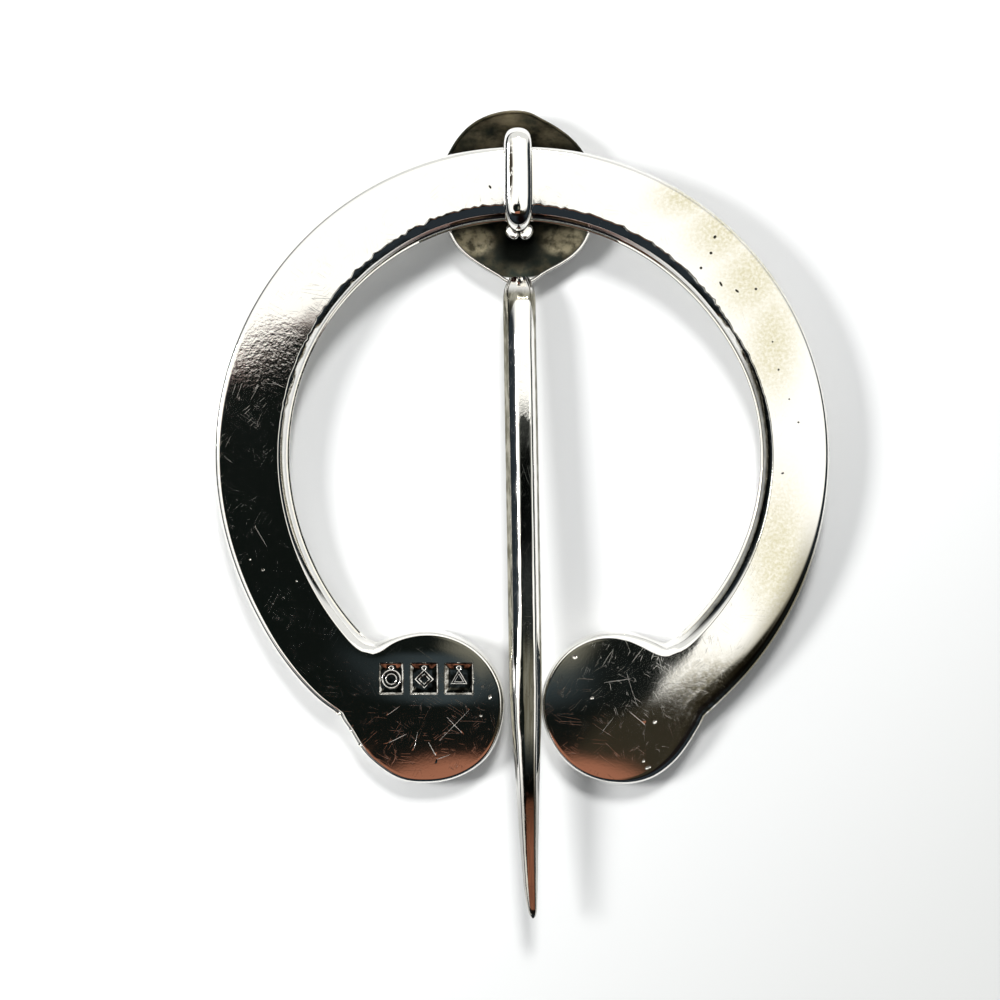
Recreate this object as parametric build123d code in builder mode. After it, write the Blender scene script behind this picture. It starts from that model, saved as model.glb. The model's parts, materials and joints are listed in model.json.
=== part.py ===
"""Penannular brooch in silver, lying face down on a table.

The hoop is one casting: a flat penannular band that ends in two disc terminals.
The pin is one soldered piece: a dished head plate in front of the band, a
half-round loop strap that holds the plate to the band, and a faceted shank.

Millimetres and degrees, +Z up. The table is z = 0 and the origin lies on it,
straight below the middle of the hoop. +Y points from the terminals to the
pin's head, and the back of the brooch faces up.
"""
import os
from math import acos, asin, atan, atan2, cos, degrees, hypot, radians, sin, sqrt

from build123d import *

# Band of the hoop
hoop_width = 40.0
band_width = 4.65
hoop_thickness = 1.8
opening_shift = 0.1
opening_drop = 0.1
flare_start = 106.0
flare = 0.68

# Terminals of the hoop
terminal_gap = 2.4
terminal_radius = 4.95
terminal_inset = 0.08
notch_clearance = 0.87
corner_clearance = 0.4
neck_round = 0.5

# Edges and front of the hoop
back_round = 0.5
front_round = 0.2
front_rim = 0.7
panel_depth = 0.35

# Row of small sunk marks on the back of one terminal
mark_count = 3
mark_width = 1.8
mark_height = 2.15
mark_pitch = 2.2
mark_depth = 0.12
mark_row_up = 1.86

# Head plate of the pin
head_radius = 5.2
head_inset = 0.425
head_gap = 0.25
head_edge = 0.9
dome_rise = 1.0
head_rim = 0.4
hollow_depth = 1.1
tail_length = 0.7

# Loop strap of the pin
strap_width = 1.95
strap_thickness = 0.65
strap_crown = 0.6
strap_bend = 0.4
strap_outer_clearance = 0.35
strap_inner_clearance = 0.2
strap_back_clearance = 0.3
toe_width = 0.9
toe_length = 0.45
toe_spread = 1.02
toe_height = 0.95

# Shank of the pin
shank_width = 2.05
shank_thickness = 1.35
shank_length = 42.4
shank_overlap = 1.0
shank_seat = 0.2
shank_clearance = 0.25
tip_drift = 0.35

# Place of the pin on the hoop, anticlockwise from the top as seen from behind
pin_turn = 0.76

# Sections of the shank from root to tip, as shares of its length, of its
# width, of its thickness and of the drift of its tip to the side
shank_sections = [
    {"along": 0.000, "wide": 0.45, "thick": 0.60, "drift": 0.00},
    {"along": 0.012, "wide": 0.85, "thick": 0.85, "drift": 0.00},
    {"along": 0.035, "wide": 1.00, "thick": 1.00, "drift": 0.00},
    {"along": 0.540, "wide": 1.00, "thick": 1.00, "drift": 0.15},
    {"along": 0.665, "wide": 0.97, "thick": 0.97, "drift": 0.20},
    {"along": 0.755, "wide": 0.77, "thick": 0.84, "drift": 0.27},
    {"along": 0.895, "wide": 0.51, "thick": 0.60, "drift": 0.45},
    {"along": 0.970, "wide": 0.34, "thick": 0.40, "drift": 0.72},
    {"along": 1.000, "wide": 0.10, "thick": 0.15, "drift": 1.00},
]

# Corners of one half of a shank section, as shares of its width to the side
# and of its thickness above the underside
shank_corners = [
    {"aside": 0.28, "up": 0.00},
    {"aside": 0.50, "up": 0.45},
    {"aside": 0.235, "up": 1.00},
]

# Band and terminals, worked out
outer_radius = hoop_width / 2
inner_radius = outer_radius - band_width
middle_radius = outer_radius - band_width / 2
terminal_x = terminal_gap / 2 + terminal_radius
terminal_reach = middle_radius - terminal_inset
terminal_y = -sqrt(terminal_reach**2 - terminal_x**2)
terminal_angle = degrees(atan2(terminal_x, terminal_y))

# Head plate, worked out: its dome and its hollow are both parts of balls,
# whose poles lie to the sides, clear of the plate
ball_turn = (90, 0, 0)
head_place = middle_radius - head_inset
tail_place = head_place - head_radius - tail_length
dome_radius = (head_radius**2 + dome_rise**2) / (2 * dome_rise)
dome_centre = dome_radius - head_gap - head_edge - dome_rise
hollow_mouth = head_radius - head_rim
hollow_radius = (hollow_mouth**2 + hollow_depth**2) / (2 * hollow_depth)
hollow_centre = hollow_radius - head_gap - hollow_depth

# Rest on the table: the dome and the rounded fronts of the terminals touch it
lean_y = terminal_y - terminal_radius + front_round
lean_run = head_place * cos(radians(pin_turn)) - lean_y
lean_rise = dome_centre - front_round
lean_drop = dome_radius - front_round
tilt = asin(lean_drop / hypot(lean_run, lean_rise)) - atan2(lean_rise, lean_run)
rest_height = front_round - front_round * cos(tilt) - lean_y * sin(tilt)

# Front plane of the hoop, facing out of its back, and the pin's plane on it
hoop_plane = Plane(
    origin=(0, 0, rest_height),
    x_dir=(1, 0, 0),
    z_dir=(0, -sin(tilt), cos(tilt)),
)
pin_plane = hoop_plane.rotated((0, 0, pin_turn))

# Middle line of the loop strap, from outside the band over its back
strap_plane = Plane(pin_plane.origin, x_dir=pin_plane.y_dir, z_dir=pin_plane.x_dir)
strap_foot = -head_gap - head_edge
strap_top = hoop_thickness + strap_back_clearance + strap_thickness / 2
strap_far = outer_radius + strap_outer_clearance + strap_thickness / 2
opening_reach = inner_radius - hypot(opening_shift, opening_drop)
strap_near = opening_reach - strap_inner_clearance - strap_thickness / 2

# Underside of the shank, which rises to clear the terminals as the pin goes round
shank_root_y = tail_place + shank_overlap
shank_root_up = -head_gap - shank_seat
clear_run = shank_root_y + terminal_reach - terminal_radius
clear_up = hoop_thickness + shank_clearance - shank_root_up
shank_rise = atan(clear_up / clear_run)
shank_way = pin_plane.z_dir * sin(shank_rise) - pin_plane.y_dir * cos(shank_rise)


def at_angle(radius, angle):
    """Point of the hoop at an angle from its top."""
    return (radius * sin(radians(angle)), radius * cos(radians(angle)))


def neck_angle(radius, clearance):
    """Angle where a circle of the hoop is still that clearance short of a terminal."""
    reach = terminal_radius + clearance
    turn = (radius**2 + terminal_reach**2 - reach**2) / (2 * radius * terminal_reach)
    return terminal_angle - degrees(acos(turn))


def teardrop(centre, radius, first, second):
    """A disc drawn out to two points by tangents, the first one anticlockwise."""
    touches = []
    for point, turn in ((first, 1), (second, -1)):
        run = (point[0] - centre[0], point[1] - centre[1])
        angle = atan2(run[1], run[0]) + turn * acos(radius / hypot(*run))
        touches.append((centre[0] + radius * cos(angle), centre[1] + radius * sin(angle)))
    neck = ((first[0] + second[0]) / 2, (first[1] + second[1]) / 2)
    reach = hypot(centre[0] - neck[0], centre[1] - neck[1])
    far = tuple(c + radius * (c - n) / reach for c, n in zip(centre, neck))
    with BuildSketch(Plane.XY) as face:
        with BuildLine():
            Line(first, touches[0])
            ThreePointArc(touches[0], far, touches[1])
            Line(touches[1], second)
            Line(second, first)
        make_face()
    return face.sketch


def hoop_face(inset=0):
    """Face of the hoop, drawn in by an inset: a band cut from a fan, and two terminals."""
    rim = outer_radius - inset
    hole = inner_radius + inset
    boss = terminal_radius - inset
    crown = at_angle(rim, flare_start / 2)
    start = at_angle(rim, flare_start)
    notch = at_angle(rim + flare, neck_angle(outer_radius + flare, notch_clearance))
    other_notch = (-notch[0], notch[1])
    inner = at_angle(hole, neck_angle(inner_radius, corner_clearance))
    corner = (opening_shift + inner[0], inner[1] - opening_drop)
    other_corner = (opening_shift - inner[0], inner[1] - opening_drop)
    with BuildSketch(Plane.XY) as face:
        with BuildLine():
            Line((0, 0), (0, rim))
            ThreePointArc((0, rim), crown, start)
            TangentArc(start, notch, tangent=(start[1], -start[0]))
            Line(notch, (0, 0))
        make_face()
        mirror(about=Plane.YZ)
        with Locations((opening_shift, -opening_drop)):
            Circle(hole, mode=Mode.SUBTRACT)
        add(teardrop((terminal_x, terminal_y), boss, corner, notch))
        add(teardrop((-terminal_x, terminal_y), boss, other_notch, other_corner))
        for bend in (corner, other_corner):
            fillet(face.vertices().sort_by_distance(bend)[0], radius=neck_round)
    return face.sketch


def pin_point(aside, along, up):
    """Point of the pin, from its place across, along and above the pin's plane."""
    return pin_plane.from_local_coords((aside, along, up))


def shank_plane(row):
    """Plane across the shank at one section, its origin on the underside."""
    run = row["along"] * shank_length
    along = shank_root_y - run * cos(shank_rise)
    up = shank_root_up + run * sin(shank_rise)
    place = pin_point(row["drift"] * tip_drift, along, up)
    return Plane(place, x_dir=pin_plane.x_dir, z_dir=shank_way)


def shank_outline(row):
    """Corners of one shank section, up its right side and down its left."""
    width = row["wide"] * shank_width
    height = row["thick"] * shank_thickness
    right = [(c["aside"] * width, c["up"] * height) for c in shank_corners]
    left = [(-x, y) for x, y in reversed(right)]
    return right + left


# The hoop: an even plate, its edges rounded
with BuildPart() as hoop:
    with BuildSketch(hoop_plane):
        add(hoop_face())
    extrude(amount=hoop_thickness)
    back_face = hoop.faces().sort_by(Axis(hoop_plane.origin, hoop_plane.z_dir))[-1]
    fillet(back_face.edges(), radius=back_round)
    front_face = hoop.faces().sort_by(Axis(hoop_plane.origin, hoop_plane.z_dir))[0]
    fillet(front_face.edges(), radius=front_round)
    # Sunk panel on the front, inside a raised rim
    with BuildSketch(hoop_plane):
        add(hoop_face(front_rim))
    extrude(amount=panel_depth, mode=Mode.SUBTRACT)
    # Small sunk marks in a row
    with BuildSketch(hoop_plane.offset(hoop_thickness)):
        with Locations((-terminal_x, terminal_y + mark_row_up)):
            with GridLocations(mark_pitch, 0, mark_count, 1):
                Rectangle(mark_width, mark_height)
    extrude(amount=-mark_depth, mode=Mode.SUBTRACT)

hoop.part.label = "hoop"

# The loop strap: half-round, bent over the back of the band
with BuildPart() as strap:
    with BuildLine(strap_plane) as route:
        FilletPolyline(
            (strap_far, strap_foot),
            (strap_far, strap_top),
            (strap_near, strap_top),
            (strap_near, strap_foot),
            radius=strap_bend + strap_thickness / 2,
        )
    section_plane = Plane(route.line @ 0, x_dir=pin_plane.x_dir, z_dir=route.line % 0)
    with BuildSketch(section_plane) as section:
        Rectangle(strap_width, strap_thickness)
        fillet(section.vertices().group_by(Axis.Y)[-1], radius=strap_crown)
    sweep()
    # Two rounded toes at the foot of the inner leg
    with BuildSketch(pin_plane.offset(strap_foot)):
        with Locations((0, strap_near - strap_thickness / 2)):
            with GridLocations(toe_spread, 0, 2, 1):
                Ellipse(toe_width / 2, toe_length)
    extrude(amount=toe_height)

# The shank: a faceted bar that tapers to its tip
with BuildPart() as shank:
    for row in shank_sections:
        with BuildSketch(shank_plane(row)):
            with BuildLine():
                Polyline(shank_outline(row), close=True)
            make_face()
    loft(ruled=True)

# The pin: a head plate domed in front and hollow behind, with strap and shank.
# Its blank is deeper than the dome, so that the ball cuts all of its front
with BuildPart() as pin:
    tail = (shank_width / 2, tail_place)
    other_tail = (-shank_width / 2, tail_place)
    with BuildSketch(pin_plane.offset(-head_gap)):
        add(teardrop((0, head_place), head_radius, tail, other_tail))
    extrude(amount=-(head_edge + 2 * dome_rise))
    with Locations(pin_point(0, head_place, dome_centre)):
        Sphere(dome_radius, rotation=ball_turn, mode=Mode.INTERSECT)
    with Locations(pin_point(0, head_place, hollow_centre)):
        Sphere(hollow_radius, rotation=ball_turn, mode=Mode.SUBTRACT)
    add(strap.part)
    add(shank.part)

pin.part.label = "pin"

os.makedirs("parts", exist_ok=True)
export_step(hoop.part, "parts/hoop.step")
export_step(pin.part, "parts/pin.step")
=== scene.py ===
"""Looks of a penannular brooch in silver, lying face down on white paper.

Pieces are shaped on a bench, in millimetres: x across the hoop, y towards the
pin's head and z out of the back, with the middle of the hoop's front at zero.
A finished piece is laid down in the frame, in metres, by lay_down.
"""
import json
from math import atan2, cos, degrees, exp, pi, radians, sin

import bmesh
import bpy
from mathutils import Matrix, Vector, noise


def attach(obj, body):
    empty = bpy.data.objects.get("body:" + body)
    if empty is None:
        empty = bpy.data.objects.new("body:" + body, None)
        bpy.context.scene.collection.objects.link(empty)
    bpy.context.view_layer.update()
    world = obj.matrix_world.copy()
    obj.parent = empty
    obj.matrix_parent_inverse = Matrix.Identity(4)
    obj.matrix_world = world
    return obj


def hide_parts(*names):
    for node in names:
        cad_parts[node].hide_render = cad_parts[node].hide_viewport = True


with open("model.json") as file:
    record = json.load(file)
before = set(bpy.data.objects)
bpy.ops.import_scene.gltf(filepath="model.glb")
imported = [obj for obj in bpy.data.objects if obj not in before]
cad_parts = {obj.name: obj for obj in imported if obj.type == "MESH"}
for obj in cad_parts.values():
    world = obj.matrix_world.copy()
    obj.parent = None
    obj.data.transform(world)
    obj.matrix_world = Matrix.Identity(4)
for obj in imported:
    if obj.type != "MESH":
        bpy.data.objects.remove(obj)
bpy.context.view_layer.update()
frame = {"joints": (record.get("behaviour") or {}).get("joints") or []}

MM = 0.001
travel = frame["joints"][0]
back_normal = Vector(travel["axis"]).normalized()
bench_right = Vector((1, 0, 0))
bench_up = back_normal.cross(bench_right)
bench_turn = Matrix((bench_right, bench_up, back_normal)).transposed().to_4x4()
bench = Matrix.Translation(travel["pos_m"]) @ bench_turn @ Matrix.Scale(MM, 4)

# Section of the hoop
hoop_back = 1.79
rim_width = 0.68
panel_slope = 0.27
panel_depth = 0.35
edge_drop = 0.48
band_middle = 17.7
band_crown = 0.012
terminal_crown = 0.05
neck_middle_angle = 142.5

# Edges of the band, by the angle from the top, rightwards as seen: the
# distance of each from the middle, and the width of the rounded shoulder
outer_edge = [
    (-145, 20.72), (-140, 20.76), (-130, 20.50), (-120, 20.20), (-108, 20.02),
    (-90, 19.97), (-60, 19.98), (-10, 19.99), (20, 19.97), (60, 19.97), (90, 19.98),
    (108, 20.08), (120, 20.22), (130, 20.38), (140, 20.58), (145, 20.75),
]
inner_edge = [
    (-140, 15.66), (-130, 15.45), (-120, 15.29), (-110, 15.19), (-100, 15.14),
    (-80, 15.14), (-60, 15.20), (-20, 15.27), (20, 15.14), (40, 15.13), (50, 15.18),
    (60, 15.30), (70, 15.45), (80, 15.54), (100, 15.58), (130, 15.59), (140, 15.61),
]
outer_shoulder = [
    (-145, 0.45), (-90, 0.42), (0, 0.42), (60, 0.36), (82, 0.36), (100, 0.46),
    (120, 0.80), (130, 1.10), (140, 1.40), (145, 1.45),
]
inner_shoulder = [
    (-140, 0.85), (-120, 0.72), (-100, 0.66), (-60, 0.68), (-35, 0.85), (-20, 1.05),
    (5, 1.05), (40, 0.92), (60, 0.66), (80, 0.70), (100, 0.72), (140, 0.88),
]

# Terminals, by the angle about their middles, clockwise from the top as seen:
# the reach of the outline and the width of the rounded shoulder
left_middle = (-6.11, -16.39)
left_outline = [
    (319.5, 5.56), (321.5, 5.38), (325, 5.25), (330, 5.16), (340, 5.08), (350, 5.04),
    (380, 4.99), (420, 5.06), (435, 5.08), (450, 5.02), (470, 5.03), (490, 5.09),
    (515, 5.01), (540, 4.98), (560, 5.10), (580, 5.09), (600, 5.21), (610, 5.30),
    (615, 5.43), (620, 5.64),
]
left_shoulder = [(317, 0.85), (336, 0.36), (450, 0.30), (620, 0.34)]
right_middle = (6.15, -16.39)
right_outline = [
    (100, 5.69), (105, 5.54), (110, 5.43), (120, 5.31), (135, 5.25), (150, 5.24),
    (160, 5.19), (170, 5.11), (180, 5.02), (190, 4.97), (200, 4.93), (220, 4.87),
    (240, 4.82), (255, 4.83), (270, 4.87), (300, 4.92), (330, 4.96), (360, 4.94),
    (380, 4.93), (390, 5.00), (395, 5.10), (398, 5.22), (400, 5.50),
]
right_shoulder = [(95, 1.45), (120, 1.25), (145, 0.70), (180, 0.34), (330, 0.30), (400, 0.80)]

# Swellings of the back beside the punched marks, and a hollow on the other
# terminal: middle, reach and height
swellings = [
    (-6.3, -16.15, 3.4, 0.75, 0.016), (-6.3, -12.75, 3.2, 0.60, 0.010),
    (-2.6, -14.6, 0.7, 1.4, 0.008), (6.4, -15.0, 1.6, 1.4, -0.012),
]

# Punched marks on the left terminal: middle, half width and half height, and
# the number of sides of the raised rings in each
marks = [
    (-8.47, -14.46, 0.80, 1.05, 40), (-6.33, -14.46, 0.93, 1.05, 4),
    (-4.07, -14.46, 0.96, 1.05, 3),
]
mark_depth = 0.13
mark_corner = 0.14
# Raised rings in each mark and the loop above them: reach, half width of the
# line, and the number of sides, where it isn't the mark's own
mark_rings = [(0.58, 0.055), (0.34, 0.045)]
mark_rings_rise = -0.06
mark_loop = (0.13, 0.05, 20)
mark_loop_rise = 0.66

# Dents and scratches of the back: middle, half length, half width, depth and turn
dents = [
    (-2.05, -15.67, 0.16, 0.10, 0.06, 70), (-2.64, -16.91, 0.09, 0.07, 0.05, 0),
    (3.47, -13.05, 0.17, 0.15, 0.07, 0), (8.69, -17.30, 0.15, 0.12, 0.07, 40),
    (4.58, -15.73, 0.12, 0.08, 0.05, 30), (8.24, -20.30, 0.20, 0.09, 0.06, 25),
    (7.95, -19.85, 0.12, 0.08, 0.05, 70), (12.45, 14.14, 0.12, 0.09, 0.13, 50),
    (12.20, 13.11, 0.10, 0.09, 0.12, 0), (11.56, 12.15, 0.09, 0.09, 0.12, 0),
    (12.85, 11.12, 0.18, 0.07, 0.11, 120), (13.89, 10.67, 0.15, 0.07, 0.10, 140),
    (15.11, 10.80, 0.09, 0.08, 0.10, 0), (-2.04, 17.35, 0.13, 0.07, 0.13, 125),
    (-16.77, -7.38, 0.10, 0.09, 0.06, 0), (-17.60, -6.70, 0.07, 0.06, 0.04, 0),
    (-14.60, -8.10, 0.06, 0.06, 0.04, 0), (16.90, -1.10, 0.10, 0.06, 0.10, 20),
    (17.90, 2.20, 0.07, 0.06, 0.09, 0), (16.60, 5.60, 0.08, 0.06, 0.09, 60),
    (16.20, 7.40, 0.06, 0.06, 0.08, 0), (17.30, 3.70, 0.06, 0.05, 0.08, 0),
]
# Scratches that don't cross each other, then those that cross them
scratches_one_way = [
    (-8.17, -18.42, 1.68, 0.022, 0.010, 26), (-8.40, -16.60, 1.10, 0.018, 0.008, 35),
    (-4.36, -17.50, 1.45, 0.018, 0.008, 46), (5.50, -17.60, 1.00, 0.018, 0.007, 50),
    (6.20, -14.60, 1.10, 0.018, 0.008, 8), (-5.10, -19.60, 0.50, 0.018, 0.008, 20),
]
scratches_other_way = [
    (-4.36, -17.50, 1.50, 0.020, 0.010, -46), (-6.90, -18.60, 0.95, 0.020, 0.009, 78),
    (-5.80, -19.10, 0.80, 0.020, 0.009, -62), (-16.90, -5.20, 0.80, 0.009, 0.003, -60),
    (7.60, -17.10, 0.90, 0.018, 0.007, -40),
]
# Nicks in the edges: middle across, along and up, and reach
nicks = [
    (19.98, -1.99, 1.70, 0.16), (20.05, -0.90, 1.72, 0.10), (-11.95, -16.75, 1.70, 0.20),
    (-11.15, -17.85, 1.75, 0.13), (-10.55, -18.85, 1.72, 0.14), (-16.85, 10.95, 1.72, 0.12),
    (-19.95, -3.80, 1.70, 0.12), (-19.20, -6.60, 1.70, 0.10),
]

# Head plate of the pin, by the angle about its middle, clockwise from the top
pin_turn = 0.76
head_middle = (0, 17.25)
head_radius = 5.2
head_outline = [
    (-180, 6.15), (-174, 6.12), (-171, 6.04), (-167, 5.83), (-160, 5.64), (-150, 5.51),
    (-140, 5.47), (-130, 5.42), (-120, 5.29), (-100, 5.17), (-61, 5.14), (-45, 5.22),
    (-32, 5.27), (-20, 5.25), (0, 5.19), (9, 5.12), (20, 4.90), (34, 4.83), (47, 4.87), (61, 4.94),
    (90, 5.12), (105, 5.30), (120, 5.47), (130, 5.62), (140, 5.66), (150, 5.64),
    (159, 5.68), (165, 5.80), (169, 5.98), (173, 6.12), (180, 6.15),
]
head_gap = 0.25
head_edge = 0.90
dome_rise = 0.99
hollow_depth = 1.10
hollow_lip = 0.12
dome_shares = (0, 0.12, 0.25, 0.38, 0.5, 0.62, 0.73, 0.83, 0.91, 0.96, 0.985)
hollow_shares = (0.955, 0.92, 0.86, 0.77, 0.66, 0.55, 0.42, 0.28, 0.14, 0)
# The rounded rim of the plate: a share of its reach and a height
head_rim = [
    (0.997, -1.10), (1.0, -1.02), (1.0, -0.46), (0.998, -0.35), (0.993, -0.285),
    (0.986, -0.255), (0.977, -0.25), (0.969, -0.262), (0.961, -0.30),
]

# Loop strap of the pin: the line of its middle, across the band
strap_far = 20.85
strap_near = 14.68
strap_top = 2.40
strap_foot = -1.25
strap_far_bend = 0.80
strap_near_bend = 1.60
strap_width = 1.90
strap_thickness = 0.68
strap_roundness = 0.72
strap_section_steps = 18
strap_bend_steps = 10
strap_leg_shares = (0, 0.35, 0.7, 1)
strap_top_shares = (0, 0.12, 0.25, 0.4, 0.5, 0.6, 0.75, 0.88, 1)
strap_wide = [(0, 0.84), (0.12, 0.86), (0.25, 0.93), (0.40, 0.98), (0.52, 1.0), (0.62, 0.98),
              (0.70, 0.93), (0.78, 0.82), (0.86, 0.64), (1, 0.56)]
toes = [
    {"middle": (-0.42, 14.47), "reach": (0.38, 0.54), "top": 1.05, "turn": 40},
    {"middle": (0.52, 14.46), "reach": (0.40, 0.55), "top": 1.10, "turn": -38},
]
# A toe from its top down: a share of its reach, and how far below its top
toe_section = [
    (0, 0), (0.45, 0.0), (0.66, 0.012), (0.80, 0.05), (0.90, 0.12), (0.96, 0.22),
    (0.99, 0.34), (1, 0.50), (1, 2.3), (0, 2.3),
]
toe_lean = 0.10

# Shank of the pin: its root, its rise and its sections as shares of its length,
# width and thickness, with the drift of its middle in millimetres
shank_root = (11.60, -0.38)
shank_rise = 5.70
shank_length = 41.60
shank_width = 2.12
shank_thickness = 1.33
shank_wide = [
    (0.0, 0.56), (0.006, 0.72), (0.014, 0.86), (0.022, 0.94), (0.035, 0.99), (0.06, 1.0),
    (0.54, 1.0), (0.66, 0.97), (0.755, 0.79), (0.84, 0.64), (0.895, 0.54), (0.95, 0.42),
    (0.985, 0.29), (0.996, 0.18), (1.0, 0.06),
]
shank_thick = [
    (0.0, 0.17), (0.010, 0.34), (0.020, 0.50), (0.035, 0.68), (0.055, 0.85), (0.08, 0.96),
    (0.10, 1.0), (0.54, 1.0), (0.66, 0.98), (0.755, 0.87), (0.80, 0.78), (0.845, 0.64),
    (0.895, 0.49), (0.95, 0.34), (0.985, 0.23), (0.996, 0.15), (1.0, 0.06),
]
shank_drift = [
    (0.0, 0.0), (0.12, 0.0), (0.35, 0.04), (0.54, 0.06), (0.66, 0.07), (0.755, 0.10),
    (0.84, 0.13), (0.895, 0.16), (0.95, 0.22), (1.0, 0.34),
]
# A shank section, as shares of its width aside and its thickness up, from the
# middle of its foot round by the right side
shank_section = [
    (0.0, 0.0), (0.22, 0.0), (0.30, 0.04), (0.41, 0.22), (0.49, 0.40), (0.50, 0.47),
    (0.49, 0.55), (0.43, 0.72), (0.37, 0.88), (0.345, 0.93), (0.32, 0.965), (0.295, 0.987),
    (0.27, 0.998), (0.245, 1.0), (0.234, 1.0), (0.09, 1.0), (-0.054, 1.0), (-0.065, 1.0),
    (-0.09, 0.998), (-0.115, 0.987), (-0.14, 0.968), (-0.16, 0.95), (-0.18, 0.93),
    (-0.25, 0.85), (-0.32, 0.765), (-0.350, 0.730), (-0.370, 0.695), (-0.465, 0.46),
    (-0.480, 0.42), (-0.50, 0.38), (-0.49, 0.28), (-0.40, 0.15), (-0.30, 0.03), (-0.22, 0.0),
]
# The left shoulder of the section, which widens from one share of the length on
# over another: where it starts and ends aside, and how much it widens
shoulder_from = 0.52
shoulder_over = 0.14
shoulder_start = -0.08
shoulder_end = -0.18
shoulder_widening = 1.3
# Places of the sections as shares of the length, close together at both ends
shank_stops = [0, 0.004, 0.008, 0.014, 0.02, 0.03, 0.04, 0.055]
shank_stops += [0.07 + 0.9 * step / 88 for step in range(89)]
shank_stops += [0.976, 0.981, 0.986, 0.990, 0.994, 0.997, 0.999, 1.0]
# Hammer marks: waves to the millimetre, and their height as a share of the section
shank_long_waves = 0.35
shank_long_height = 0.007
shank_short_waves = 1.9
shank_short_height = 0.010

# Unevenness: of the inner bevel's upper edge, as waves to the millimetre and their
# height, and of the worn back
bevel_waves = [(2.1, 0.06), (5.3, 0.15)]
bevel_waves_start = 8
back_waves = 0.35
back_waves_height = 0.0035

# Counts of points along the outline
band_points = 300
terminal_points = 110
neck_points = 12
head_points = 144


def smooth_table(rows):
    """A smooth curve through the rows, each a place and its value."""
    slopes = []
    for index in range(len(rows)):
        before = rows[max(index - 1, 0)]
        after = rows[min(index + 1, len(rows) - 1)]
        slopes.append((after[1] - before[1]) / (after[0] - before[0]))

    def value(at):
        at = min(max(at, rows[0][0]), rows[-1][0])
        index = max(i for i in range(len(rows) - 1) if rows[i][0] <= at)
        (start, low), (end, high) = rows[index], rows[index + 1]
        run = end - start
        t = (at - start) / run
        rise = high - low
        first = slopes[index] * run
        last = slopes[index + 1] * run
        bend = (first + last - 2 * rise) * t + 3 * rise - 2 * first - last
        return low + t * (first + t * bend)

    return value


def round_from_top(distance, angle):
    """Place at an angle from the top, clockwise as seen."""
    return Vector((distance * sin(radians(angle)), distance * cos(radians(angle))))


def outline_columns():
    """Points round the hoop's outline, each with its spine point and its edge."""
    outer, inner = smooth_table(outer_edge), smooth_table(inner_edge)
    outer_wide, inner_wide = smooth_table(outer_shoulder), smooth_table(inner_shoulder)
    outer_end, inner_end = outer_edge[-1][0], inner_edge[-1][0]
    columns = []

    def band(edge, wide, end, way, inside):
        for step in range(band_points):
            share = way * (2 * step / (band_points - 1) - 1)
            angle = share * end
            columns.append({
                "rim": round_from_top(edge(angle), angle),
                "spine": round_from_top(band_middle, share * neck_middle_angle),
                "wide": wide(angle),
                "inside": inside,
                "crown": band_crown,
            })

    def terminal(middle, outline, shoulder, start, end, neck_side):
        middle = Vector(middle)
        neck = round_from_top(band_middle, neck_side * neck_middle_angle)
        first, last = start - middle, end - middle
        start_angle = outline[0][0] - 1 + (
            degrees(atan2(first.x, first.y)) - outline[0][0] + 1 + 180) % 360 - 180
        end_angle = outline[-1][0] + 1 + (
            degrees(atan2(last.x, last.y)) - outline[-1][0] - 1 + 180) % 360 - 180
        reach = smooth_table(
            [(start_angle, first.length)] + outline + [(end_angle, last.length)])
        wide = smooth_table(shoulder)
        for step in range(1, terminal_points + 1):
            share = step / (terminal_points + 1)
            angle = start_angle + share * (end_angle - start_angle)
            from_neck = min(step, terminal_points + 1 - step) / neck_points
            pull = min(from_neck, 1)
            columns.append({
                "rim": middle + round_from_top(reach(angle), angle),
                "spine": neck.lerp(middle, pull),
                "wide": wide(angle),
                "inside": 0,
                "crown": band_crown + (terminal_crown - band_crown) * pull,
            })

    band(outer, outer_wide, outer_end, 1, 0)
    notch = columns[-1]["rim"]
    other_notch = columns[0]["rim"]
    corner = round_from_top(inner(inner_end), inner_end)
    other_corner = round_from_top(inner(-inner_end), -inner_end)
    terminal(right_middle, right_outline, right_shoulder, notch, corner, 1)
    band(inner, inner_wide, inner_end, -1, 1)
    terminal(left_middle, left_outline, left_shoulder, other_corner, other_notch, -1)
    return columns


def ease_corners(columns):
    """Inward directions of the columns, and the share of the inner edge, evened out."""
    count = len(columns)
    for index, column in enumerate(columns):
        run = columns[(index + 1) % count]["rim"] - columns[index - 1]["rim"]
        column["inward"] = Vector((run.y, -run.x)).normalized()
    for key in ("inward", "inside", "wide"):
        for _ in range(4):
            values = [column[key] for column in columns]
            for index, column in enumerate(columns):
                around = values[index - 1] + values[(index + 1) % count]
                column[key] = values[index] * 0.5 + around * 0.25
    for column in columns:
        column["inward"].normalize()
        upper = min(1, max(0, column["rim"].y / bevel_waves_start))
        spot = column["rim"].to_3d()
        rough = sum(high * noise.noise(spot * waves) for waves, high in bevel_waves)
        column["uneven"] = rough * column["inside"] * upper


# Sections of the edge from the wall's foot to the back. On the band's inside: a
# share of the shoulder's width and a height. Elsewhere: the heights of an upright
# wall, which a quarter round follows
inside_section = [
    (0.00, 0.20), (0.00, 0.32), (0.03, 0.40), (0.07, 0.425), (0.18, 0.425), (0.21, 0.47),
    (0.27, 0.72), (0.34, 1.02), (0.41, 1.30), (0.45, 1.40), (0.51, 1.45), (0.74, 1.61),
    (0.95, 1.76), (1.00, 1.778),
]
wall_heights = (0.20, 0.35, 0.70, 1.05)
# The back, as shares of the way from the shoulder to the spine
back_shares = (0.03, 0.08, 0.14, 0.21, 0.29, 0.37, 0.45, 0.54, 0.63, 0.72, 0.81, 0.9, 1)
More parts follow.
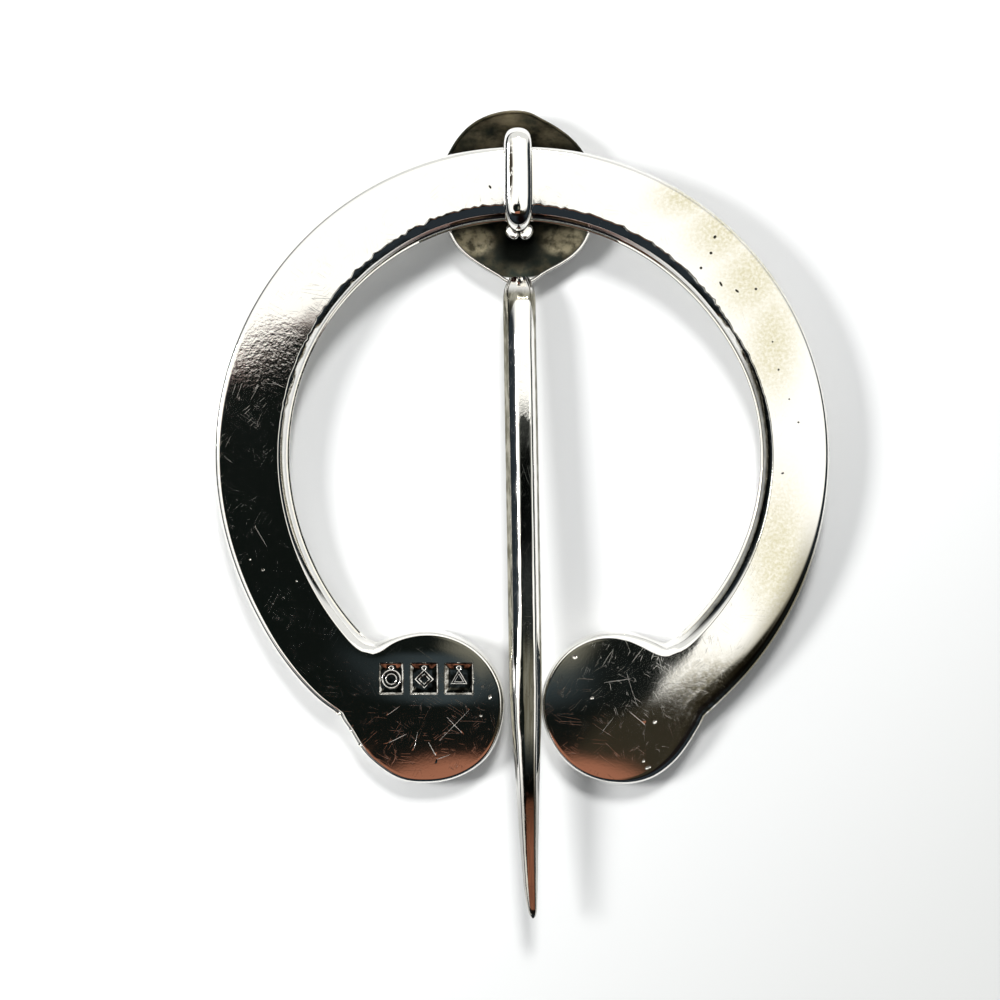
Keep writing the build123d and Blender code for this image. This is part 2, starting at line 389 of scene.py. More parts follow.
# The front's rim, from the panel's edge to the wall's foot: a distance inwards and
# a height
front_section = [
    (0.80, 0.33), (0.73, 0.22), (0.70, 0.07), (0.64, 0.01), (0.56, 0.0), (0.30, 0.0),
    (0.14, 0.02), (0.05, 0.07),
]


def plain_edge(step, crown):
    """The edge outside the band's inside: an upright wall and a quarter round."""
    if step < len(wall_heights):
        return 0, wall_heights[step]
    turns = len(inside_section) - len(wall_heights)
    turn = pi / 2 * (step - len(wall_heights)) / (turns - 1)
    return 1 - cos(turn), hoop_back - edge_drop + (edge_drop - crown) * sin(turn)


def hoop_rows(columns):
    """Places of each row of the hoop's skin, from the front's spine to the back's."""
    def place(column, inset, height):
        spot = column["rim"] + column["inward"] * inset
        return Vector((spot.x, spot.y, height))

    def towards_spine(column, inset, share, height):
        spot = (column["rim"] + column["inward"] * inset).lerp(column["spine"], share)
        return Vector((spot.x, spot.y, height))

    panel_edge = rim_width + panel_slope
    rows = []
    for share in (1, 0.5, 0):
        rows.append([towards_spine(c, panel_edge, share, panel_depth) for c in columns])
    for inset, height in front_section:
        rows.append([place(c, inset, height) for c in columns])
    for step, inner in enumerate(inside_section):
        row = []
        for c in columns:
            plain = plain_edge(step, c["crown"])
            share = plain[0] + (inner[0] - plain[0]) * c["inside"]
            height = plain[1] + (inner[1] - plain[1]) * c["inside"]
            bite = c["uneven"] * min(1, max(0, share - 0.5) * 3)
            row.append(place(c, share * c["wide"] + bite, height))
        rows.append(row)
    for share in back_shares:
        row = []
        for c in columns:
            fall = c["crown"] * (1 - share) ** 2
            spot = towards_spine(c, c["wide"] + c["uneven"], share, hoop_back - fall)
            spot.z += min(1, share * 5) * worn_height(spot)
            row.append(spot)
        rows.append(row)
    return rows


def worn_height(spot):
    """How far the worn and hammered back lies above or below its even shape."""
    height = back_waves_height * noise.noise(
        Vector((spot.x * back_waves, spot.y * back_waves, 0)))
    for x, y, wide, high, lift in swellings:
        height += lift * exp(-((spot.x - x) / wide) ** 2 - ((spot.y - y) / high) ** 2)
    return height


def draw_out(name, rows):
    """A skin drawn out of a ring of points, one extruded row after the other."""
    bpy.ops.object.select_all(action="DESELECT")
    bpy.ops.mesh.primitive_circle_add(vertices=len(rows[0]), fill_type="NOTHING")
    piece = bpy.context.object
    piece.name = name
    piece.data.name = name
    bpy.ops.object.mode_set(mode="EDIT")
    skin = bmesh.from_edit_mesh(piece.data)
    number = skin.verts.layers.int.new("number")
    for index, vert in enumerate(skin.verts):
        vert[number] = index
    for step, row in enumerate(rows):
        if step:
            bpy.ops.mesh.extrude_edges_move()
        skin = bmesh.from_edit_mesh(piece.data)
        number = skin.verts.layers.int["number"]
        for vert in skin.verts:
            if vert.select:
                vert.co = row[vert[number]]
        bmesh.update_edit_mesh(piece.data)
    bpy.ops.mesh.select_all(action="SELECT")
    bpy.ops.mesh.remove_doubles(threshold=0.0005)
    bpy.ops.mesh.normals_make_consistent(inside=False)
    bpy.ops.object.mode_set(mode="OBJECT")
    return piece


def join_with(piece, other, way):
    """Joins, or cuts, one solid with another, which is used up."""
    bpy.ops.object.select_all(action="DESELECT")
    bpy.context.view_layer.objects.active = piece
    piece.select_set(True)
    step = piece.modifiers.new(way.lower(), "BOOLEAN")
    step.operation = way
    step.solver = "EXACT"
    step.object = other
    bpy.ops.object.modifier_apply(modifier=step.name)
    bpy.data.objects.remove(other)


def lay_down(piece, turn=0):
    """Moves a finished piece from the bench to its place in the frame."""
    piece.data.transform(bench @ Matrix.Rotation(radians(turn), 4, "Z"))
    piece.data.update()


def shade(piece, limit=32):
    """Smooth shading, with the edges sharper than the limit kept crisp."""
    bpy.ops.object.select_all(action="DESELECT")
    piece.select_set(True)
    bpy.context.view_layer.objects.active = piece
    bpy.ops.object.shade_smooth_by_angle(angle=radians(limit))


def put(tree, kind, inputs=None, **settings):
    """A node of a tree, its settings made and its sockets set or linked."""
    made = tree.nodes.new(kind)
    for key, value in settings.items():
        setattr(made, key, value)
    for key, value in (inputs or {}).items():
        if isinstance(value, bpy.types.NodeSocket):
            tree.links.new(value, made.inputs[key])
        else:
            made.inputs[key].default_value = value
    return made


def mix_colours(tree, share, first, second):
    """One colour laid over another by a share."""
    made = put(tree, "ShaderNodeMix", data_type="RGBA")
    for index, value in ((0, share), (6, first), (7, second)):
        if isinstance(value, bpy.types.NodeSocket):
            tree.links.new(value, made.inputs[index])
        elif index:
            made.inputs[index].default_value = (*value, 1)
        else:
            made.inputs[index].default_value = value
    return made.outputs[2]


def sum_up(tree, way, first, second):
    """Two numbers worked into one."""
    return put(tree, "ShaderNodeMath", {0: first, 1: second}, operation=way).outputs[0]


def work_places(tree, way, first, second):
    """Two places or directions worked into one: its outputs."""
    return put(tree, "ShaderNodeVectorMath", {0: first, 1: second}, operation=way).outputs


def all_of(tree, first, *others):
    """The share where all of several shares hold."""
    for other in others:
        first = sum_up(tree, "MULTIPLY", first, other)
    return first


def share_between(tree, value, low, high):
    """Nothing below low, one above high and a smooth rise between."""
    return put(tree, "ShaderNodeMapRange", {
        "Value": value, "From Min": low, "From Max": high, "To Min": 0, "To Max": 1},
        interpolation_type="SMOOTHSTEP").outputs[0]


def span(tree, value, start, full, fading, end):
    """One from full to fading, and nothing before the start and past the end."""
    return sum_up(tree, "MULTIPLY", share_between(tree, value, start, full),
                  share_between(tree, value, end, fading))


def soft_patch(tree, spot, middle, reach, soft):
    """A share that is one inside an oval patch and falls to nothing at its edge."""
    away = work_places(tree, "SUBTRACT", spot, (*middle, 0))[0]
    scaled = work_places(tree, "DIVIDE", away, (*reach, 1000))[0]
    far = put(tree, "ShaderNodeVectorMath", {0: scaled}, operation="LENGTH")
    return share_between(tree, far.outputs["Value"], 1, 1 - soft)


def distance_from(tree, spot, middle):
    """Distance from an upright line through a middle."""
    away = work_places(tree, "SUBTRACT", spot, (*middle, 0))[0]
    flat = work_places(tree, "MULTIPLY", away, (1, 1, 0))[0]
    far = put(tree, "ShaderNodeVectorMath", {0: flat}, operation="LENGTH")
    return far.outputs["Value"]


def speckle(tree, spot, size, detail, along=(1, 1, 1)):
    """Even noise of a size in millimetres."""
    scaled = work_places(tree, "MULTIPLY", spot, [a / size for a in along])[0]
    return put(tree, "ShaderNodeTexNoise", {
        "Vector": scaled, "Scale": 1.0, "Detail": detail, "Roughness": 0.6}).outputs[0]


def clouds(tree, spot, size, detail, low, high, along=(1, 1, 1)):
    """Clouds of a size in millimetres: nothing where the noise is low, one where it is high."""
    return share_between(tree, speckle(tree, spot, size, detail, along), low, high)


# Fine wear: the way the lines lie in degrees, how far apart and how long they are
# in millimetres, how thin they are, and how much of the surface has none
wear_lines = [
    (35, 0.30, 3.5, 0.020, 0.57), (-40, 0.26, 3.0, 0.020, 0.59), (75, 0.34, 4.0, 0.018, 0.58),
    (5, 0.40, 5.0, 0.016, 0.59), (-68, 0.24, 2.5, 0.020, 0.61), (120, 0.42, 5.0, 0.016, 0.58),
]
wear_roughness = 0.11
wear_depth = 0.45
pore_size = 0.16
bump_unit = 0.001 * MM

# Level of the middle of the hoop's front in the frame, along the hoop's axis
front_level = 1.195


def scratches(tree, spot, turn, apart, length, fine, often):
    """Thin lines that lie one way, in patches."""
    turned = put(tree, "ShaderNodeVectorRotate", {"Vector": spot, "Angle": radians(turn)},
                 rotation_type="Z_AXIS").outputs[0]
    wander = speckle(tree, turned, apart, 0, (apart / length, 1, 1))
    away = put(tree, "ShaderNodeMath", {0: sum_up(tree, "SUBTRACT", wander, 0.5)},
               operation="ABSOLUTE").outputs[0]
    line = share_between(tree, away, fine, 0)
    patch = clouds(tree, turned, 1.6 * apart + 0.8, 1, often, often + 0.08)
    return sum_up(tree, "MULTIPLY", line, patch)


def start_silver(name):
    """Polished silver: its tree and shader, the place, the height and the fine wear."""
    material = bpy.data.materials.new(name)
    material.use_nodes = True
    tree = material.node_tree
    shader = tree.nodes["Principled BSDF"]
    shader.inputs["Metallic"].default_value = 1
    here = put(tree, "ShaderNodeTexCoord").outputs["Object"]
    spot = work_places(tree, "MULTIPLY", here, (1000, 1000, 1000))[0]
    along = work_places(tree, "DOT_PRODUCT", spot, tuple(back_normal))["Value"]
    height = sum_up(tree, "SUBTRACT", along, front_level)
    lines = 0.0
    for line in wear_lines:
        lines = sum_up(tree, "ADD", scratches(tree, spot, *line), lines)
    return material, tree, shader, spot, height, lines


def finish_silver(tree, shader, spot, lines, grain, colour, rough, dimples=0.0):
    """Colour, roughness and bump of the silver; the bump is in thousandths of a millimetre."""
    tree.links.new(colour, shader.inputs["Base Color"])
    worn = sum_up(tree, "MULTIPLY", lines, wear_roughness)
    tree.links.new(sum_up(tree, "ADD", worn, rough), shader.inputs["Roughness"])
    low = sum_up(tree, "MULTIPLY", lines, -wear_depth)
    pores = sum_up(tree, "MULTIPLY", speckle(tree, spot, pore_size, 3), grain)
    pores = sum_up(tree, "ADD", pores, dimples)
    bump = put(tree, "ShaderNodeBump", {
        "Height": sum_up(tree, "ADD", low, pores), "Distance": bump_unit, "Strength": 1.0})
    tree.links.new(bump.outputs[0], shader.inputs["Normal"])


# Colours of the clean silver, of what has settled on the hoop, of the darker bevel and of painted
# reflections
clean_silver = (0.90, 0.885, 0.85)
yellow_stain = (0.60, 0.56, 0.38)
neck_tarnish = (0.34, 0.30, 0.19)
edge_painted_dark_reflection = (0.20, 0.18, 0.12)
wall_painted_reflection = (0.16, 0.07, 0.045)
bevel_dark_mottle = [(0.05, 0.048, 0.04), (0.16, 0.15, 0.12)]
pit_grime = (0.05, 0.045, 0.03)

# Patches of the hoop: the middle and the reach of each in millimetres, and how
# soft its edge is
hoop_stains = [
    ((10.6, 16.5), (3.4, 2.0), 0.9),
    ((12.8, 14.4), (3.4, 3.2), 0.9),
    ((14.8, 11.4), (3.4, 4.0), 0.9),
    ((16.2, 7.2), (2.6, 5.4), 0.9),
    ((16.6, -6.5), (3.0, 7.5), 0.9),
]
scuffed_patch = ((-16.3, 6.0), (3.6, 4.2), 0.7)
neck_patch = ((12.6, -16.2), (4.6, 4.6), 0.9)
# Where the outer edge gets its painted dark reflection, and where the inner bevel is darker
dark_edge_reflection_patch = ((16.0, -10.5), (6.0, 9.5), 0.6)
dark_bevel_patch = ((17.0, -4.5), (9.0, 13.0), 0.3)

# Where they lie: heights, distances from the hoop's middle and places across and
# along it, from nothing to full, or from the start by full and fading to the end
stain_heights = (1.2, 1.3)
edge_distances = (18.3, 20.2)
inside_distances = (16.3, 16.0)
# Heights and places of the painted reddish reflection on the inner wall
wall_reflection_heights = (0.50, 0.60, 1.38, 1.44)
wall_reflection_along = (12.0, 14.5)
bevel_heights = (0.55, 0.62, 1.72, 1.75)
pitted_distances = (16.35, 16.45, 19.35, 19.45)
pitted_along = (-10.0, -9.0)
pit_floor = (1.765, 1.72)
marks_across = (-9.6, -9.5, -2.9, -2.8)
marks_along = (-15.8, -15.7, -13.2, -13.1)
marks_floor = (1.70, 1.665)
pit_heights = (1.50, 1.55)


def stained_colour(tree, spot, height, neck):
    """Clean silver with the yellow stains of the band and the tarnish of the neck."""
    stain = 0.0
    for patch in hoop_stains:
        stain = sum_up(tree, "MAXIMUM", soft_patch(tree, spot, *patch), stain)
    stain = all_of(tree, stain, clouds(tree, spot, 0.20, 4, 0.05, 0.80),
                   share_between(tree, height, *stain_heights))
    colour = mix_colours(tree, stain, clean_silver, yellow_stain)
    olive = all_of(tree, neck, clouds(tree, spot, 0.3, 4, 0.25, 0.7))
    return mix_colours(tree, olive, colour, neck_tarnish)


def edges_with_painted_reflections(tree, spot, height, along, distance, colour):
    """Painted dark reflection on the outer edge, painted reddish reflection on the wall and darker
    inner bevel.
    """
    # Painted dark reflection on the outer edge at the lower right
    edge_dark_reflection = all_of(tree, share_between(tree, distance, *edge_distances),
                       soft_patch(tree, spot, *dark_edge_reflection_patch))
    colour = mix_colours(tree, edge_dark_reflection, colour, edge_painted_dark_reflection)
    inside = share_between(tree, distance, *inside_distances)
    # Painted reddish reflection on the band's inner wall
    wall_reflection = all_of(tree, span(tree, height, *wall_reflection_heights), inside,
                  share_between(tree, along, *wall_reflection_along))
    colour = mix_colours(tree, wall_reflection, colour, wall_painted_reflection)
    # Darker mottled tones on the inner bevel of the band's right side
    bevel = all_of(tree, span(tree, height, *bevel_heights), inside,
                   soft_patch(tree, spot, *dark_bevel_patch))
    bevel_mottle = mix_colours(tree, clouds(tree, spot, 0.6, 3, 0.35, 0.65), *bevel_dark_mottle)
    return mix_colours(tree, bevel, colour, bevel_mottle)


def share_of_grime(tree, spot, height, across, along, distance):
    """The share of grime in the dents of the band and in the punched marks."""
    pit = all_of(tree, span(tree, distance, *pitted_distances),
                 share_between(tree, along, *pitted_along),
                 share_between(tree, height, *pit_floor))
    in_mark = all_of(tree, span(tree, across, *marks_across), span(tree, along, *marks_along),
                     clouds(tree, spot, 0.45, 2, 0.2, 0.7),
                     share_between(tree, height, *marks_floor))
    return all_of(tree, sum_up(tree, "MAXIMUM", pit, in_mark),
                  share_between(tree, height, *pit_heights))


def make_hoop_silver():
    """Silver of the hoop: stained, scuffed and grimy where the photo shows it, with painted
    reflections.
    """
    material, tree, shader, spot, height, lines = start_silver("hoop_silver")
    place = put(tree, "ShaderNodeSeparateXYZ", {0: spot}).outputs
    distance = distance_from(tree, spot, (0, 0))
    scuffed = soft_patch(tree, spot, *scuffed_patch)
    neck = soft_patch(tree, spot, *neck_patch)
    colour = stained_colour(tree, spot, height, neck)
    colour = edges_with_painted_reflections(tree, spot, height, place["Y"], distance, colour)
    grime = share_of_grime(tree, spot, height, place["X"], place["Y"], distance)
    colour = mix_colours(tree, grime, colour, pit_grime)
    grain = sum_up(tree, "ADD", 0.5, sum_up(tree, "MULTIPLY", neck, 2.0))
    grain = sum_up(tree, "ADD", grain, sum_up(tree, "MULTIPLY", scuffed, 3.0))
    rough = sum_up(tree, "ADD", 0.055, sum_up(tree, "MULTIPLY", neck, 0.06))
    dimples = all_of(tree, speckle(tree, spot, 0.30, 2), sum_up(tree, "MULTIPLY", scuffed, 7.0))
    finish_silver(tree, shader, spot, lines, grain, colour, rough, dimples)
    return material


# Colours of the pin: the soot settled on it, painted light, shadow and reflections, its greyer tip
# and dull sides
soot_dark = (0.008, 0.010, 0.008)
soot_light = (0.032, 0.028, 0.018)
soot_brown = (0.10, 0.085, 0.055)
# Painted shadow in the middle of the head's hollow
soot_painted_shadow = (0.005, 0.006, 0.005)
# Painted light on the soot of the hollow
soot_painted_light = (0.17, 0.15, 0.10)
# Painted reflections along the strap and on its bend
strap_painted_dark_reflection = (0.04, 0.035, 0.025)
bend_painted_reflection = (0.16, 0.06, 0.045)
tip_silver = (0.45, 0.44, 0.42)
# Painted reflections and highlights of the shank's middle facet
facet_painted_dark_reflection = (0.12, 0.125, 0.115)
facet_painted_highlight = (0.62, 0.59, 0.52)
facet_painted_brown_reflection = (0.26, 0.24, 0.20)
dull_sides = [(0.15, 0.14, 0.10), (0.40, 0.38, 0.31)]

# Patches of the pin, as it lies in the frame: middle, reach and softness likewise
# Two patches of painted light in the head's hollow
painted_light_patches = [
    ((-3.1, 14.0), (1.7, 1.2), 0.5),
    ((2.7, 14.0), (1.7, 1.2), 0.5),
]
clean_root_patch = ((-0.15, 10.9), (0.95, 0.75), 0.25)
above_band_patch = ((-0.2, 21.2), (4.8, 2.6), 0.6)
# Painted shadow in the middle of the head's hollow
painted_shadow_patch = ((-0.2, 13.5), (2.3, 1.7), 0.6)
# Painted dark reflection along the strap, and painted reddish reflection on its bend
strap_dark_reflection_patch = ((-0.72, 18.3), (0.20, 2.4), 0.6)
bend_reflection_patch = ((-0.05, 15.1), (0.42, 0.42), 0.7)
tip_patch = ((0.5, -27.0), (2.0, 8.5), 0.5)

# The hollow of the head: its middle in the frame, the distances where its soot
# ends, its depth and its rise with the square of the distance, and its heights
hollow_middle = (-0.23, 17.22)
hollow_distances = (5.9, 5.6)
hollow_floor = -1.80
hollow_rise = 0.036
hollow_above_floor = (0.0, 0.1)
hollow_heights = (-0.28, -0.36)
sooty_rim_heights = (-1.1, -0.8, -0.2, -0.02)
sooty_rim_along = (15.0, 17.5)
strap_heights = (0.6, 1.0)

# The shank: the middle facet of its back, how it leans, the shaded, streaky and brown
# stretches of it, which are painted reflections and highlights, and the heights above
# the shank's foot of its dull sides
facet_lean = 0.0147
facet_across = (-0.19, -0.11, 0.58, 0.66)
shaded_top = (5.0, 4.3)
shaded_bottom = (-9.0, -5.0)
shaded_ragged = 4.0
streaky_along = (-9.5, -12.0)
brown_along = (-26.5, -21.8, -20.5, -17.5)
foot_level = 0.772
foot_fall = 0.0993
dull_heights = (0.97, 0.92)
dull_along = (-21.5, -18.0, 10.4, 11.0)


def soot_share(tree, spot, height, along):
    """The share of soot in the hollow of the head and round its upper rim."""
    distance = distance_from(tree, spot, hollow_middle)
    bowl = sum_up(tree, "MULTIPLY", sum_up(tree, "POWER", distance, 2.0), hollow_rise)
    above = sum_up(tree, "SUBTRACT", height, sum_up(tree, "ADD", bowl, hollow_floor))
    inside = all_of(tree, share_between(tree, height, *hollow_heights),
                    share_between(tree, above, *hollow_above_floor))
    rim = all_of(tree, share_between(tree, along, *sooty_rim_along),
                 span(tree, height, *sooty_rim_heights))
    clean_root = soft_patch(tree, spot, *clean_root_patch)
    return all_of(tree, share_between(tree, distance, *hollow_distances),
                  sum_up(tree, "SUBTRACT", 1.0, clean_root),
                  sum_up(tree, "MAXIMUM", inside, rim))


def soot_colour(tree, spot):
    """Soot of several tones, with painted light in two patches beside the strap's toes and painted
    shadow in the middle.
    """
    soot = mix_colours(tree, clouds(tree, spot, 1.1, 4, 0.35, 0.70), soot_dark, soot_light)
    # Painted light: two lighter patches where the hollow is lit
    for patch in painted_light_patches:
        lit_share = all_of(tree, soft_patch(tree, spot, *patch),
                        clouds(tree, spot, 0.7, 4, 0.28, 0.62))
        soot = mix_colours(tree, lit_share, soot, soot_painted_light)
    above_band = all_of(tree, soft_patch(tree, spot, *above_band_patch),
                        clouds(tree, spot, 0.9, 4, 0.30, 0.70, (0.6, 1, 1)))
    soot = mix_colours(tree, above_band, soot, soot_brown)
    # Painted shadow of the band and the strap in the middle of the hollow
    return mix_colours(tree, soft_patch(tree, spot, *painted_shadow_patch), soot, soot_painted_shadow)


def strap_colour(tree, spot, height):
    """Clean silver, with a painted dark reflection along the strap, a painted reddish reflection on
    its bend and the greyer tip.
    """
    on_strap = share_between(tree, height, *strap_heights)
    # Painted dark reflection along the strap's side
    strap_reflection = all_of(tree, soft_patch(tree, spot, *strap_dark_reflection_patch),
                    clouds(tree, spot, 0.40, 3, 0.34, 0.46), on_strap)
    bright = mix_colours(tree, strap_reflection, clean_silver, strap_painted_dark_reflection)
    # Painted reddish reflection on the strap's bend
    bend = all_of(tree, soft_patch(tree, spot, *bend_reflection_patch), on_strap)
    bright = mix_colours(tree, bend, bright, bend_painted_reflection)
    return mix_colours(tree, soft_patch(tree, spot, *tip_patch), bright, tip_silver)


def shank_colour(tree, spot, height, across, along, bright):
    """The painted reflections and highlights of the shank's middle facet, and its dull, mottled
    sides.
    """
    aside = sum_up(tree, "ADD", across, sum_up(tree, "MULTIPLY", along, facet_lean))
    facet = span(tree, aside, *facet_across)
    ragged = sum_up(tree, "ADD", along, sum_up(
        tree, "MULTIPLY", speckle(tree, spot, 0.30, 4, (1, 0.35, 1)), shaded_ragged))
    # Painted dark reflection on the middle facet
    shaded = all_of(tree, share_between(tree, ragged, *shaded_top),
                    share_between(tree, along, *shaded_bottom), facet)
    bright = mix_colours(tree, shaded, bright, facet_painted_dark_reflection)
    # Painted highlight streaks on the middle facet
    streaky = all_of(tree, clouds(tree, spot, 0.15, 3, 0.35, 0.65, (1, 0.05, 1)),
                     share_between(tree, along, *streaky_along), facet)
    bright = mix_colours(tree, streaky, bright, facet_painted_highlight)
    # Painted brown reflection on the middle facet
    brown = all_of(tree, span(tree, along, *brown_along), facet)
    bright = mix_colours(tree, brown, bright, facet_painted_brown_reflection)
    foot = sum_up(tree, "SUBTRACT", foot_level, sum_up(tree, "MULTIPLY", along, foot_fall))
    dull = all_of(tree, share_between(tree, sum_up(tree, "SUBTRACT", height, foot), *dull_heights),
                  span(tree, along, *dull_along))
    mottled = mix_colours(tree, clouds(tree, spot, 0.30, 3, 0.35, 0.65, (1, 0.25, 1)), *dull_sides)
    return mix_colours(tree, dull, bright, mottled)


def make_pin_silver():
    """Silver of the pin: sooty in the head's hollow, with painted light, shadow and reflections,
    and dull along the shank's sides.
    """
    material, tree, shader, spot, height, lines = start_silver("pin_silver")
    place = put(tree, "ShaderNodeSeparateXYZ", {0: spot}).outputs
    sooty = soot_share(tree, spot, height, place["Y"])
    bright = strap_colour(tree, spot, height)
    bright = shank_colour(tree, spot, height, place["X"], place["Y"], bright)
    colour = mix_colours(tree, sooty, bright, soot_colour(tree, spot))
    rough = sum_up(tree, "ADD", 0.06, sum_up(tree, "MULTIPLY", sooty, 0.28))
    grain = sum_up(tree, "ADD", 1.0, sum_up(tree, "MULTIPLY", sooty, 4.0))
    finish_silver(tree, shader, spot, lines, grain, colour, rough)
    return material


def make_mark(middle, half_wide, half_high, sides):
    """A punched mark to be sunk in the back, with a plain raised figure in its floor."""
    floor = hoop_back - mark_depth
    corner = mark_corner
    ring = []
    for quarter in range(4):
        for step in range(5):
            turn = radians(90 * quarter + 22.5 * step)
            way_x = 1 if quarter in (0, 3) else -1
            way_y = 1 if quarter in (0, 1) else -1
            ring.append((way_x * (half_wide - corner) + corner * cos(turn),
                         way_y * (half_high - corner) + corner * sin(turn)))
    rows = []
    for size, height in ((0, floor), (0.5, floor), (0.90, floor), (0.95, floor + 0.02),
                         (1.0, floor + 0.10), (1.04, hoop_back + 0.10), (0, hoop_back + 0.10)):
        rows.append([Vector((middle[0] + size * x, middle[1] + size * y, height)) for x, y in ring])
    mark = draw_out("mark", rows)
    figures = [(*ring, sides, mark_rings_rise) for ring in mark_rings]
    figures.append((*mark_loop, mark_loop_rise))
    for major, minor, count, rise in figures:
        bpy.ops.object.select_all(action="DESELECT")
        bpy.ops.mesh.primitive_torus_add(
            major_segments=count, minor_segments=12, major_radius=major, minor_radius=minor)
        figure = bpy.context.object
        figure.data.transform(Matrix.Translation((middle[0], middle[1] + rise, floor + 0.01))
                              @ Matrix.Rotation(radians(90), 4, "Z"))
        join_with(mark, figure, "DIFFERENCE")
    return mark


def make_ball(middle, reach, turn):
    """A ball pressed to its reach, turned and put in its place."""
    bpy.ops.object.select_all(action="DESELECT")
    bpy.ops.mesh.primitive_uv_sphere_add(segments=20, ring_count=10, radius=1)
    ball = bpy.context.object
    ball.data.transform(Matrix.Translation(middle) @ Matrix.Rotation(radians(turn), 4, "Z")
                        @ Matrix.Diagonal((*reach, 1)))
    return ball


def wear_back(hoop):
    """Sinks the punched marks, the dents, the scratches and the nicks in the hoop."""
    def sunk_balls(table):
        balls = []
        for x, y, along, across, depth, turn in table:
            hit = hoop.ray_cast((x, y, 4), (0, 0, -1))
            balls.append(make_ball((x, y, hit[1].z), (along, across, depth), turn))
        return balls

    first = [make_mark((x, y), half_wide, half_high, sides)
             for x, y, half_wide, half_high, sides in marks]
    first += sunk_balls(dents)
    first += [make_ball((x, y, up), (reach, reach, reach), 0) for x, y, up, reach in nicks]
    groups = (first, sunk_balls(scratches_one_way), sunk_balls(scratches_other_way))
    for cutters in groups:
        bpy.ops.object.select_all(action="DESELECT")
        for cutter in cutters:
            cutter.select_set(True)
        bpy.context.view_layer.objects.active = cutters[0]
        bpy.ops.object.join()
        join_with(hoop, cutters[0], "DIFFERENCE")


def make_hoop():
    """The band and its two terminals, one casting."""
    columns = outline_columns()
    ease_corners(columns)
    hoop = draw_out("hoop_silver_casting", hoop_rows(columns))
    wear_back(hoop)
    shade(hoop)
    lay_down(hoop)
    hoop.data.materials.clear()
    hoop.data.materials.append(make_hoop_silver())
    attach(hoop, "hoop")
    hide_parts("hoop")


def make_head():
    """The head plate: a dome in front, a rounded edge and a hollow behind."""
    reach = smooth_table(head_outline)
    middle = Vector(head_middle)
    ball = (head_radius**2 + dome_rise**2) / (2 * dome_rise)
    edge_foot = -head_gap - head_edge
    dome = edge_foot - dome_rise + ball
    section = []
    for share in dome_shares:
        section.append((share, dome - (ball**2 - (share * head_radius)**2)**0.5))
    section += head_rim
    for share in hollow_shares:
        sunk = (hollow_depth - hollow_lip) * (1 - (share / hollow_shares[0])**2)
        section.append((share, -head_gap - hollow_lip - sunk))
    rows = []
    for share, height in section:
        row = []
        for index in range(head_points):
            angle = 360 * index / head_points - 180
            spot = middle + round_from_top(share * reach(angle), angle)
            row.append(Vector((spot.x, spot.y, height)))
        rows.append(row)
    return draw_out("pin_silver_soldered", rows)


def strap_route():
    """Stations of the strap: place along and up, and the way that its back faces."""
    far, near, steps = strap_far_bend, strap_near_bend, strap_bend_steps
    stations = []
    for share in strap_leg_shares:
        stations.append((strap_far, strap_foot + share * (strap_top - far - strap_foot), 0))
    for step in range(1, steps):
        turn = 90 * step / steps
        stations.append((strap_far - far + far * cos(radians(turn)),
                         strap_top - far + far * sin(radians(turn)), turn))
    for share in strap_top_shares:
        run = strap_far - far - strap_near - near
        stations.append((strap_far - far - share * run, strap_top, 90))
    for step in range(1, steps):
        turn = 90 * step / steps
        stations.append((strap_near + near - near * sin(radians(turn)),
                         strap_top - near + near * cos(radians(turn)), 90 + turn))
    for share in strap_leg_shares:
        drop = share * (strap_top - near - strap_foot)
        stations.append((strap_near, strap_top - near - drop, 180))
    return stations


def make_strap():
    """The half-round strap that goes over the back of the band."""
    turns = strap_section_steps
    section = []
    for step in range(turns + 1):
        turn = pi * step / turns
        section.append((cos(turn), 2 * sin(turn) ** strap_roundness - 1))
    section += [(-0.94, -1.0), (-0.5, -1.0), (0, -1.0), (0.5, -1.0), (0.94, -1.0)]
    section[0] = (1, -0.86)
    section[turns] = (-1, -0.86)
    stations = strap_route()
    strap_swell = smooth_table(strap_wide)
    rows = []
    for index, (along, up, facing) in enumerate(stations):
        share = index / (len(stations) - 1)
        wide = strap_width / 2 * strap_swell(share)
        row = []
        for aside, out in section:
            away = out * strap_thickness / 2
            row.append(Vector((aside * wide, along + away * cos(radians(facing)),
                               up + away * sin(radians(facing)))))
        rows.append(row)
    first = sum(rows[0], Vector()) / len(section)
    last = sum(rows[-1], Vector()) / len(section)
    return draw_out("strap", [[first] * len(section)] + rows + [[last] * len(section)])


def make_toe(middle, reach, top, turn):
    """A flattened, rounded toe of the strap that stands in the hollow."""
    rows = []
    for share, drop in toe_section:
        row = []
        for step in range(40):
            spot = round_from_top(1, 9 * step)
            aside, along = share * spot.x * reach[0], share * spot.y * reach[1]
            spot = Matrix.Rotation(radians(turn), 2) @ Vector((aside, along))
            height = top - drop - toe_lean * spot.y
            row.append(Vector((middle[0] + spot.x, middle[1] + spot.y, height)))
        rows.append(row)
    return draw_out("toe", rows)


def widen_shoulder(aside, lower):
    """Place aside of a section point: the left shoulder is wider low on the shank."""
    if aside > shoulder_start:
        return aside
    if aside > shoulder_end:
        return aside + (aside - shoulder_start) * shoulder_widening * lower
    widest = (shoulder_start - shoulder_end) * shoulder_widening
    return aside - widest * lower * (aside + 0.5) / (0.5 + shoulder_end)


